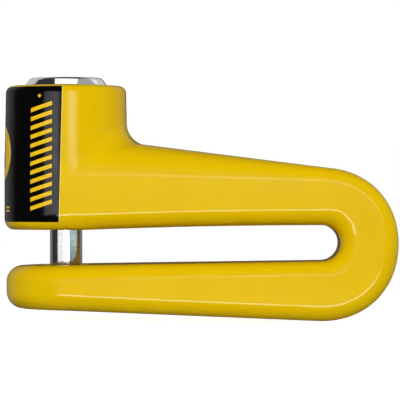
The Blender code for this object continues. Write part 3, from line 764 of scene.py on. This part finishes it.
def make_print():
    """Generic graphics: a ladder of slanted bars on each side, and a padlock sign on the back."""
    ladder_low, ladder_top = LADDER_Z
    pitch = (ladder_top - ladder_low) / LADDER_BARS
    for side in (-1, 1):
        tag = "front" if side > 0 else "far"
        for i in range(LADDER_BARS):
            middle = (side * LADDER_SPOT, ladder_low + pitch * (i + 0.5))
            bar(f"ladder_{tag}_{i + 1}", middle, BAR_LENGTH, BAR_STROKE, side * BAR_RISE)
        disc(f"dot_{tag}", (side * DOT_SPOT, DOT_Z), DOT_R)
        for i in (0, 1):
            middle = (side * TICK_SPOT, TICK_Z + TICK_PITCH * i)
            bar(f"tick_{tag}_{i + 1}", middle, TICK_LENGTH, TICK_STROKE, 0.0)
    disc("sign_disc", (SIGN_SPOT, SIGN_Z), SIGN_R)
    u = SIGN_SPOT + np.linspace(-LOCK_HALF_WIDTH, LOCK_HALF_WIDTH, LOCK_ACROSS + 1)
    v = np.linspace(SIGN_Z + LOCK_LOW, SIGN_Z + LOCK_HIGH, LOCK_TALL + 1)
    grid_v, grid_u = np.meshgrid(v, u, indexing="ij")
    body = bent_sheet("sign_lock_body", grid_u, grid_v, PICTURE_PROUD, PRINT_THICK)
    printed(body, "black_print")
    hoop("sign_lock_hoop", (SIGN_SPOT, SIGN_Z + HOOP_Z), HOOP_R, HOOP_STROKE, HOOP_LEG)


def make_label_edges():
    """The film's cut edges, with the light caught there painted in: a pale yellow band on the coating beside
    the film.
    """
    heights = label_heights()
    for side, name in ((1, "film_edge_front"), (-1, "film_edge_far")):
        wave = EDGE_WAVE * np.sin(heights * 4200) * np.sin(heights * 1370)
        inner = label_half(heights) - EDGE_SINK
        outer = inner + EDGE_WIDTH + wave
        spots = side * np.stack([inner, outer], axis=1)
        grid_z = np.stack([heights, heights], axis=1)
        edge = bent_sheet(name, spots, grid_z, FILM_PROUD - EDGE_STEP, LABEL_THICK)
        printed(edge, "film_edge")


def make_pin():
    """The locking pin, its thin tail and the hole for the cross pin."""
    low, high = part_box("locking_pin")
    radius = (high.x - low.x) / 2
    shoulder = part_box("plunger_housing")[0].z - GAP
    face_r, face_edge, flank_edge = radius - 1.35 * PIN_TIP, 0.0003, 0.0004
    outline = [(0, low.z), (face_r, low.z)]
    outline += arc(face_r, low.z + face_edge, face_edge, -90, -45, 3)
    outline += arc(radius - flank_edge, low.z + 1.1 * PIN_TIP, flank_edge, -45, 0, 3)
    outline += [(radius, shoulder), (PIN_TAIL_R, shoulder), (PIN_TAIL_R, high.z), (0, high.z)]
    pin = turned("pin_rod", outline)
    carve(pin, drill("pin_drill", CROSS_HOLE_R, "Y", -PIN_REACH, PIN_REACH, CROSS_HOLE_Z))
    dress(pin, "pin_steel", "plunger", "locking_pin")


def drill(name, radius, axis, start, end, height, steps=40):
    """A rod along X or Y through the pin's axis, to cut a hole with."""
    bm = bmesh.new()
    rings = []
    for reach in (start, end):
        ring = []
        for i in range(steps):
            a = math.tau * i / steps
            side, up = radius * math.cos(a), height + radius * math.sin(a)
            spot = (PIN_X + reach, side, up) if axis == "X" else (PIN_X + side, reach, up)
            ring.append(bm.verts.new(spot))
        rings.append(ring)
    bm.faces.new(rings[0])
    bm.faces.new(rings[1])
    for i in range(steps):
        j = (i + 1) % steps
        bm.faces.new([rings[0][i], rings[0][j], rings[1][j], rings[1][i]])
    return bm_object(name, bm)


def block(name, low, high):
    """A plain box about the pin's axis, to cut a slot with."""
    bm = bmesh.new()
    bmesh.ops.create_cube(bm, size=1)
    for vert in bm.verts:
        vert.co = [(a + b) / 2 + c * (b - a) for a, b, c in zip(low, high, vert.co)]
        vert.co.x += PIN_X
    return bm_object(name, bm)


def make_housing():
    """The plunger's housing, with room for the lock's works and the guide screw's groove."""
    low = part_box("plunger_housing")[0].z
    edge, drop = 0.0004, 0.0006
    outline = [(0, low), (PLUNGER_R - drop, low)]
    outline += arc(PLUNGER_R - edge, low + drop, edge, -60, 0, 4)
    outline += [(PLUNGER_R, HOUSING_SHOULDER), (HOUSING_NECK_R, HOUSING_SHOULDER)]
    outline += [(HOUSING_NECK_R, HOUSING_TOP), (CAVITY_R, HOUSING_TOP)]
    outline += [(CAVITY_R, CAVITY_FLOOR), (0, CAVITY_FLOOR)]
    housing = turned("plunger_barrel", outline, 160)

    hole, peg, half, tip = TAIL_HOLE_HALF, PEG_HOLE_HALF, LATCH_HALF_WIDTH + GAP, GUIDE_TIP_R + GAP
    latch_low, latch_high = LATCH_LOW.z - GAP, LATCH_HIGH.z + GAP
    spring_z, groove_low = (latch_low + latch_high) / 2, GUIDE_Z - TRAVEL
    groove = (-HOUSING_REACH, GROOVE_FLOOR_X)
    for cutter in (
        block("spigot_cut", (-hole, -hole, low - OVERCUT), (hole, hole, TAIL_HOLE_TOP)),
        block("latch_cut", (LATCH_ROOM_FROM, -half, latch_low), (HOUSING_REACH, half, latch_high)),
        drill("latch_spring_cut", LATCH_SPRING_R, "X", LATCH_SPRING_END, 0.0, spring_z),
        block("peg_cut", (-peg, -peg, PEG_HOLE_LOW), (peg, peg, CAVITY_FLOOR + OVERCUT)),
        drill("cross_cut", CROSS_HOLE_R, "Y", -HOUSING_REACH, HOUSING_REACH, CROSS_HOLE_Z),
        block("groove_cut", (groove[0], -tip, groove_low), (groove[1], tip, GUIDE_Z)),
        drill("groove_low_cut", tip, "X", *groove, groove_low),
        drill("groove_high_cut", tip, "X", *groove, GUIDE_Z),
    ):
        carve(housing, cutter)
    dress(housing, "zinc_alloy", "plunger", "plunger_housing")


def make_cap():
    """The pressed cap: a short wall, a soft shoulder and a flat face turned in round the rotor."""
    shoulder_z = PLUNGER_TOP - CAP_SHOULDER_DROP
    wall_edge, face_edge, bore_edge = 0.0008, 0.0020, 0.0004
    outline = [(CAP_WALL_R, CAP_LOW.z), (PLUNGER_R, CAP_LOW.z), (PLUNGER_R, shoulder_z)]
    outline += arc(PLUNGER_R - wall_edge, shoulder_z, wall_edge, 8, 35, 5)
    outline += arc(CAP_FACE_R, PLUNGER_TOP - face_edge, face_edge, 36, 90, 16)
    outline += [(CAP_FLAT_R, PLUNGER_TOP)]
    outline += arc(CAP_BORE_R + bore_edge, PLUNGER_TOP - bore_edge, bore_edge, 90, 180, 6)
    outline += [(CAP_BORE_R, CAP_UNDERSIDE), (CAP_WALL_R, CAP_UNDERSIDE)]
    cap = turned("cap_ring", outline, 192, 40)
    dress(cap, "chrome_plate", "plunger", "face_cap")


def make_rotor():
    """The key rotor: a dished face, a hollow behind it and slots for the key and the sidebar."""
    low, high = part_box("key_rotor")
    step, edge, dish = 0.0002, 0.0004, 0.0005
    outline = [(ROTOR_R, low.z), (ROTOR_R, ROTOR_SHOULDER - step)]
    outline += [(ROTOR_R - step, ROTOR_SHOULDER), (ROTOR_HEAD_R, ROTOR_SHOULDER)]
    outline += arc(ROTOR_HEAD_R - edge, high.z - edge, edge, 0, 90, 6)
    outline += arc(ROTOR_DISH_R, high.z - dish, dish, 90, 180, 5)
    outline += [(0, high.z - dish), (0, ROTOR_CAVITY_TOP)]
    outline += [(ROTOR_CAVITY_R, ROTOR_CAVITY_TOP), (ROTOR_CAVITY_R, low.z)]
    rotor = turned("rotor_shell", outline, 128, 40)
    carve(rotor, keyway("rotor_key_cut", ROTOR_CAVITY_TOP - OVERCUT, high.z + OVERCUT))
    slot_low = (ROTOR_CAVITY_R - THIN_OVERCUT, -SIDEBAR_SLOT_HALF, low.z - THIN_OVERCUT)
    slot_high = (ROTOR_R + THIN_OVERCUT, SIDEBAR_SLOT_HALF, SIDEBAR_SLOT_TOP)
    carve(rotor, block("sidebar_cut", slot_low, slot_high))
    dress(rotor, "hardened_steel", "rotor", "key_rotor")


def keyway(name, low, high):
    """The half-round key's passage, with its flat across the axis."""
    bm = bmesh.new()
    steps = 40
    start = math.asin(KEYWAY_FLAT / KEYWAY_R)
    rings = []
    for height in (low, high):
        ring = []
        for i in range(steps + 1):
            a = start + (math.pi - 2 * start) * i / steps
            ring.append(bm.verts.new((PIN_X + KEYWAY_R * math.cos(a), KEYWAY_R * math.sin(a), height)))
        rings.append(ring)
    bm.faces.new(rings[0])
    bm.faces.new(rings[1])
    for i in range(steps + 1):
        j = (i + 1) % (steps + 1)
        bm.faces.new([rings[0][i], rings[0][j], rings[1][j], rings[1][i]])
    return bm_object(name, bm)


def make_guard():
    """The hard disc under the rotor's face, with the key's passage through it."""
    low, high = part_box("anti_drill_disc")
    radius = (high.x - low.x) / 2
    edge = 0.0002
    outline = [(0, low.z), (radius - edge, low.z), (radius, low.z + edge), (radius, high.z - edge)]
    outline += [(radius - edge, high.z), (0, high.z)]
    guard = turned("guard_disc", outline)
    carve(guard, keyway("guard_key_cut", low.z - THIN_OVERCUT, high.z + THIN_OVERCUT))
    dress(guard, "hardened_steel", "rotor", "anti_drill_disc")


def make_fixed_rings():
    """Wiper seal, sleeve, pin bush and pin socket: the turned parts whose edges show."""
    low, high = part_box("wiper_seal")
    outer, inner, lip, lip_in, dip = SLEEVE_R, SLEEVE_BORE_R, 0.0005, 0.0004, high.z - 0.0003
    seal = [(outer, low.z), *arc(outer - lip, high.z - lip, lip, 0, 90, 5)]
    seal += zip(SEAL_GROOVE_R, (high.z, dip, dip))
    seal += [*arc(inner + lip_in, high.z - lip_in, lip_in, 90, 180, 5), (inner, low.z)]
    dress(turned("seal_ring", seal, 160, 50), "black_rubber", "body", "wiper_seal")

    low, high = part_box("barrel_sleeve")
    edge = 0.0003
    wall = [(outer, low.z), (outer, high.z - edge), (outer - edge, high.z), (inner + edge, high.z)]
    wall += [(inner, high.z - edge), (inner, low.z + edge), (inner + edge, low.z)]
    sleeve = turned("sleeve_tube", wall, 160)
    near, far = SLEEVE_REACH
    half = LATCH_HALF_WIDTH + GAP
    carve(sleeve, block("channel_cut", (near, -half, LATCH_LOW.z - GAP), (far, half, ABOVE_ALL)))
    carve(sleeve, drill("guide_cut", GUIDE_TIP_R + GAP, "X", -far, -near, GUIDE_Z))
    dress(sleeve, "hardened_steel", "body", "barrel_sleeve")

    low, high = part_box("pin_bush")
    outer, inner = (high.x - low.x) / 2, BUSH_BORE_R
    bush = [*arc(outer - edge, low.z + edge, edge, -90, 0, 4), (outer, high.z), (inner, high.z)]
    bush += arc(inner + edge, low.z + edge, edge, 180, 270, 4)
    dress(turned("bush_ring", bush, 96), "hardened_steel", "body", "pin_bush")

    low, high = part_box("pin_socket")
    plate = low.z + SOCKET_PLATE
    cup = [(0, low.z), (outer, low.z), *arc(outer - edge, high.z - edge, edge, 0, 90, 4)]
    cup += [*arc(inner + edge, high.z - edge, edge, 90, 180, 4), (inner, plate), (0, plate)]
    dress(turned("socket_cup", cup, 96), "hardened_steel", "body", "pin_socket")


def main():
    make_body()
    make_label()
    make_print()
    make_label_edges()
    make_pin()
    make_housing()
    make_cap()
    make_rotor()
    make_guard()
    make_fixed_rings()
    slots = {part["node"]: part["material_slot"] for part in frame["record"]["subparts"]}
    for name, node in frame["nodes"].items():
        finish = FINISHES[slots[name]]
        if not node.data.materials:
            node.data.materials.append(finish)
        for slot in node.material_slots:
            slot.material = finish


main()

# ---------------------------------------------------------------- stage, light and camera

CAMERA_DISTANCE = 0.880
SENSOR_WIDTH = 36.0
FRAME_WIDTH = 0.12384
CAMERA_X = -0.00021
CAMERA_Z = 0.03711

FLOOR_R, FLOOR_DROP = 0.36, 0.0002
FLOOR_GLOW = 0.85

# The world as a light: its strengths, and the parts of a direction between which each comes in
SHADE, RIGHT_GREY, RIGHT_BAND = 0.04, 0.06, (0.25, 0.55)
BACK_WHITE, BACK_BAND = 0.24, (0.20, 0.60)
STRAIGHT_BACK_SHARE, STRAIGHT_BACK_BAND = 0.12, (0.86, 0.97)
LEVEL_LOW_BAND, LEVEL_HIGH_BAND = (-0.50, -0.25), (0.60, 0.80)
LOW_GREY, LOW_BAND = 0.04, (-0.45, -0.15)

LAMP_DISTANCE = 1.6


def make_floor():
    """A round white table, which lights nothing and throws no shadow."""
    bm = bmesh.new()
    bmesh.ops.create_circle(bm, cap_ends=True, segments=96, radius=FLOOR_R)
    floor = bm_object("floor", bm)
    floor.location = (0, 0, -FLOOR_DROP)
    finish = Finish("pale_floor")
    finish.set(Roughness=0.9)
    finish.shader.inputs["Emission Color"].default_value = (1, 1, 1, 1)
    finish.shader.inputs["Emission Strength"].default_value = FLOOR_GLOW
    tone = finish.ramp(finish.noise(3.0, 2.0), 0.3, 0.7, 0.0, 1.0)
    finish.colour(finish.blend(tone, (0.88, 0.88, 0.88), (0.90, 0.90, 0.90)))
    floor.data.materials.append(finish.material)
    floor.visible_diffuse = False
    floor.visible_glossy = False
    floor.visible_shadow = False


def make_world():
    """Plain white to look at; as light, nearly dark but for the two sides behind the object."""
    world = bpy.data.worlds.new("studio")
    bpy.context.scene.world = world
    world.use_nodes = True
    tree = world.node_tree
    tree.nodes.clear()

    def node(kind, **settings):
        made = tree.nodes.new(kind)
        for name, value in settings.items():
            setattr(made, name, value)
        return made

    def ramp(value, low, high, at_low, at_high):
        made = node("ShaderNodeMapRange", clamp=True, interpolation_type="SMOOTHSTEP")
        tree.links.new(value, made.inputs["Value"])
        for name, number in (("From Min", low), ("From Max", high), ("To Min", at_low), ("To Max", at_high)):
            made.inputs[name].default_value = number
        return made.outputs["Result"]

    def math_node(operation, first, second):
        made = node("ShaderNodeMath", operation=operation)
        for socket, value in zip(made.inputs, (first, second)):
            if isinstance(value, float):
                socket.default_value = value
            else:
                tree.links.new(value, socket)
        return made.outputs[0]

    direction = node("ShaderNodeSeparateXYZ")
    tree.links.new(node("ShaderNodeTexCoord").outputs["Generated"], direction.inputs[0])
    x, y, z = direction.outputs
    right = ramp(x, *RIGHT_BAND, SHADE, RIGHT_GREY)
    behind = ramp(y, *BACK_BAND, 0.0, BACK_WHITE)
    back = math_node("MULTIPLY", behind, ramp(y, *STRAIGHT_BACK_BAND, 1.0, STRAIGHT_BACK_SHARE))
    level = math_node(
        "MULTIPLY", ramp(z, *LEVEL_HIGH_BAND, 1.0, 0.0), ramp(z, *LEVEL_LOW_BAND, 0.0, 1.0)
    )
    low = ramp(z, *LOW_BAND, LOW_GREY, 0.0)
    seen = math_node("MAXIMUM", math_node("MAXIMUM", right, math_node("MULTIPLY", back, level)), low)

    path = node("ShaderNodeLightPath")
    lit = math_node("MAXIMUM", seen, path.outputs["Is Camera Ray"])
    background = node("ShaderNodeBackground")
    background.inputs["Color"].default_value = (1, 1, 1, 1)
    tree.links.new(lit, background.inputs["Strength"])
    output = node("ShaderNodeOutputWorld")
    tree.links.new(background.outputs[0], output.inputs["Surface"])


def feather_edges(lamp, share):
    """Fade a lamp's light over the outer share of its half width and half height."""
    lamp.use_nodes = True
    tree = lamp.node_tree
    spot = tree.nodes.new("ShaderNodeSeparateXYZ")
    tree.links.new(tree.nodes.new("ShaderNodeNewGeometry").outputs["Parametric"], spot.inputs[0])
    fades = []
    for axis in (0, 1):
        offset = tree.nodes.new("ShaderNodeMath")
        offset.operation = "SUBTRACT"
        offset.inputs[1].default_value = 0.5
        tree.links.new(spot.outputs[axis], offset.inputs[0])
        size = tree.nodes.new("ShaderNodeMath")
        size.operation = "ABSOLUTE"
        tree.links.new(offset.outputs[0], size.inputs[0])
        fade = tree.nodes.new("ShaderNodeMapRange")
        fade.interpolation_type = "SMOOTHSTEP"
        tree.links.new(size.outputs[0], fade.inputs["Value"])
        edges = (("From Min", 0.5 - share / 2), ("From Max", 0.5), ("To Min", 1.0), ("To Max", 0.0))
        for socket, number in edges:
            fade.inputs[socket].default_value = number
        fades.append(fade.outputs["Result"])
    both = tree.nodes.new("ShaderNodeMath")
    both.operation = "MULTIPLY"
    for fade, socket in zip(fades, both.inputs):
        tree.links.new(fade, socket)
    tree.links.new(both.outputs[0], tree.nodes["Emission"].inputs["Strength"])


def softbox(
    name,
    azimuth,
    elevation,
    spread,
    rise,
    radiance,
    mirrored=True,
    soft=True,
    only=(),
    tint=(1, 1, 1),
    feather=0.0,
):
    """A rectangular lamp sized by the angles that it fills; azimuth 0 is the camera's side.

    It shows in reflections if mirrored, lights surfaces evenly if soft, and lights only the pieces
    named in `only`, or all of them.
    """
    lamp = bpy.data.lights.new(name, "AREA")
    lamp.shape = "RECTANGLE"
    lamp.size = 2 * LAMP_DISTANCE * math.tan(math.radians(spread) / 2)
    lamp.size_y = 2 * LAMP_DISTANCE * math.tan(math.radians(rise) / 2)
    lamp.color = tint
    lamp.energy = radiance * math.pi * lamp.size * lamp.size_y
    obj = bpy.data.objects.new(name, lamp)
    bpy.context.collection.objects.link(obj)
    a, e = math.radians(azimuth), math.radians(elevation)
    aim = np.array([math.sin(a) * math.cos(e), -math.cos(a) * math.cos(e), math.sin(e)])
    obj.location = aim * LAMP_DISTANCE + np.array([0, 0, CAMERA_Z])
    obj.rotation_euler = (math.pi / 2 - e, 0, a)
    obj.visible_glossy = mirrored
    obj.visible_diffuse = soft
    if feather:
        feather_edges(lamp, feather)
    if only:
        lit = bpy.data.collections.new(name + "_lit")
        for piece in only:
            lit.objects.link(bpy.data.objects[piece])
        obj.light_linking.receiver_collection = lit


def make_camera():
    """Level with the object's middle, far enough off to see it as the photograph does."""
    lens = bpy.data.cameras.new("camera")
    lens.sensor_width = SENSOR_WIDTH
    lens.lens = SENSOR_WIDTH * CAMERA_DISTANCE / FRAME_WIDTH
    lens.clip_start = 0.01
    camera = bpy.data.objects.new("camera", lens)
    bpy.context.collection.objects.link(camera)
    camera.location = (CAMERA_X, -CAMERA_DISTANCE, CAMERA_Z)
    camera.rotation_euler = (math.pi / 2, 0, 0)
    bpy.context.scene.camera = camera


make_floor()
make_world()
make_camera()
CHROMED = ("cap_ring", "rotor_shell")
LABEL_STARTS = ("wrap_film", "ladder", "dot", "tick", "sign")
LABELLED = [obj.name for obj in bpy.data.objects if obj.name.startswith(LABEL_STARTS)]
WARM = (1.0, 0.74, 0.09)
softbox("front_fill", 0, 15, 40, 30, 8.35, mirrored=False)
softbox("bottom_fill", 180, -78, 60, 40, 1.0, mirrored=False)
softbox("left_fill", -95, 10, 50, 50, 1.1, mirrored=False)
softbox("right_fill", 95, 10, 50, 50, 1.2, mirrored=False)
softbox("boss_strip", 13, 5, 27, 8, 3.3, feather=0.9)
softbox("haze_high", 1, 0.9, 21, 2.4, 1.6, soft=False, tint=WARM, feather=0.25)
softbox("haze_low", 1, -3.2, 25, 4.0, 1.5, soft=False, tint=WARM, feather=0.25)
softbox("label_box", -25, 3, 34, 19, 1.4, only=LABELLED, feather=0.4)
softbox("tip_glow", -19, 2.5, 24, 6, 1.9, feather=1.0)
softbox("low_strip", 5, -9, 45, 6, 8.0, soft=False, feather=0.3)
softbox("pin_front_box", -19, 0, 82, 20, 1.3, only=("pin_rod",))
softbox("pin_side_box", 55, -4, 60, 5, 0.9, only=("pin_rod",), tint=(0.72, 0.95, 1.0))
softbox("cap_box", -4, 79, 40, 26, 1.8, only=CHROMED)
softbox("cap_right", 92, 52, 66, 40, 0.40, only=CHROMED)
softbox("cap_back_left", -146, 26, 40, 52, 0.45, only=CHROMED)
softbox("cap_back_right", 146, 26, 40, 52, 0.45, only=CHROMED)
bpy.context.scene.view_settings.view_transform = "Standard"
